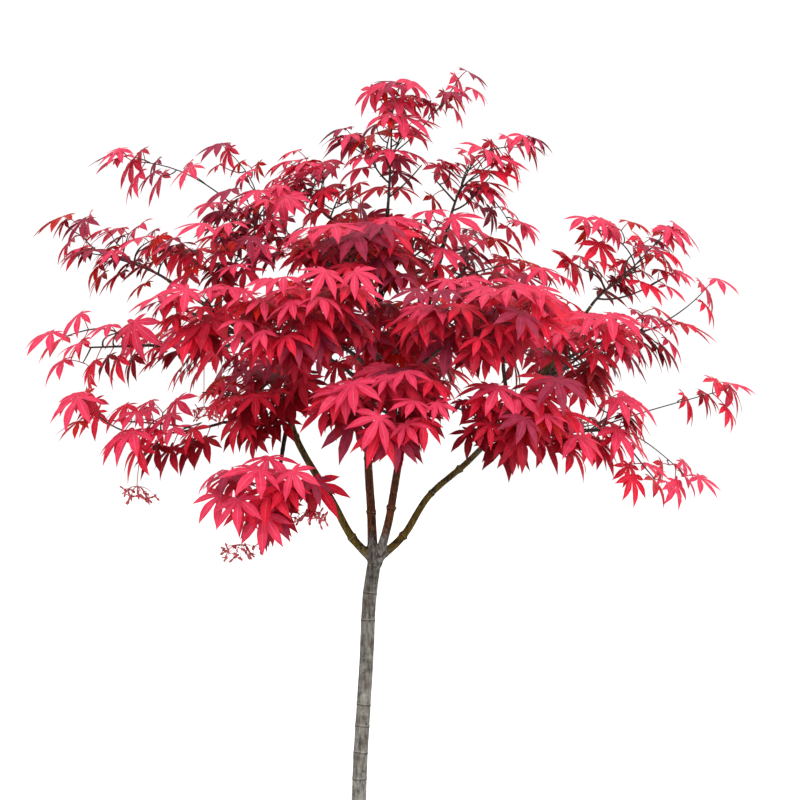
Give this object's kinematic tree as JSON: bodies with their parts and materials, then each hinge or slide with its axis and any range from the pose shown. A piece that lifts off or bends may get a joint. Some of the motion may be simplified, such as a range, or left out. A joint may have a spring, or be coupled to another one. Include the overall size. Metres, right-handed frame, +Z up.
{
  "type": "japanese maple tree",
  "caption": "Young Japanese maple with a clear stem, four boughs from one fork and a spreading crown of crimson palmate leaves.",
  "frame": {"origin": "middle of the flat cut under the trunk, at ground level (mount ground)", "axes": "+Z up along the stem, +X to the tree's right seen from its front, +Y to its back"},
  "size_m": [0.9386, 0.665, 1.2076],
  "materials": {
    "bark_grey": "smooth grey bark with lenticels and ring scars",
    "bark_young": "smooth young bark, olive to red-brown",
    "leaves_crimson": "thin crimson leaves with a soft sheen"
  },
  "bodies": {
    "root": {"bough_left": "bark_young", "bough_mid_left": "bark_young", "bough_mid_right": "bark_young", "bough_right": "bark_young", "foliage_back_high": "leaves_crimson", "foliage_back_high_right": "leaves_crimson", "foliage_back_left": "leaves_crimson", "foliage_back_mid": "leaves_crimson", "foliage_back_mid_left": "leaves_crimson", "foliage_back_right": "leaves_crimson", "foliage_core": "leaves_crimson", "foliage_far_right_front": "leaves_crimson", "foliage_front_left": "leaves_crimson", "foliage_front_low": "leaves_crimson", "foliage_front_mid_left": "leaves_crimson", "foliage_front_right": "leaves_crimson", "foliage_front_upper": "leaves_crimson", "foliage_high_left": "leaves_crimson", "foliage_left_far": "leaves_crimson", "foliage_left_high": "leaves_crimson", "foliage_left_low": "leaves_crimson", "foliage_left_mid": "leaves_crimson", "foliage_low_left": "leaves_crimson", "foliage_low_right": "leaves_crimson", "foliage_mid_left": "leaves_crimson", "foliage_right_far": "leaves_crimson", "foliage_right_high": "leaves_crimson", "foliage_right_low": "leaves_crimson", "foliage_right_mid": "leaves_crimson", "foliage_top": "leaves_crimson", "foliage_top_left": "leaves_crimson", "foliage_top_right": "leaves_crimson", "foliage_upper_core": "leaves_crimson", "limb_back_high": "bark_young", "limb_back_high_right": "bark_young", "limb_back_left": "bark_young", "limb_back_mid": "bark_young", "limb_back_mid_left": "bark_young", "limb_back_right": "bark_young", "limb_core": "bark_young", "limb_far_right_front": "bark_young", "limb_front_left": "bark_young", "limb_front_low": "bark_young", "limb_front_mid_left": "bark_young", "limb_front_right": "bark_young", "limb_front_upper": "bark_young", "limb_high_left": "bark_young", "limb_left_far": "bark_young", "limb_left_low": "bark_young", "limb_left_mid": "bark_young", "limb_low_left": "bark_young", "limb_low_right": "bark_young", "limb_mid_left": "bark_young", "limb_right_far": "bark_young", "limb_right_low": "bark_young", "limb_right_mid": "bark_young", "limb_top_left": "bark_young", "limb_upper_core": "bark_young", "trunk": "bark_grey"}
  },
  "joints": []
}
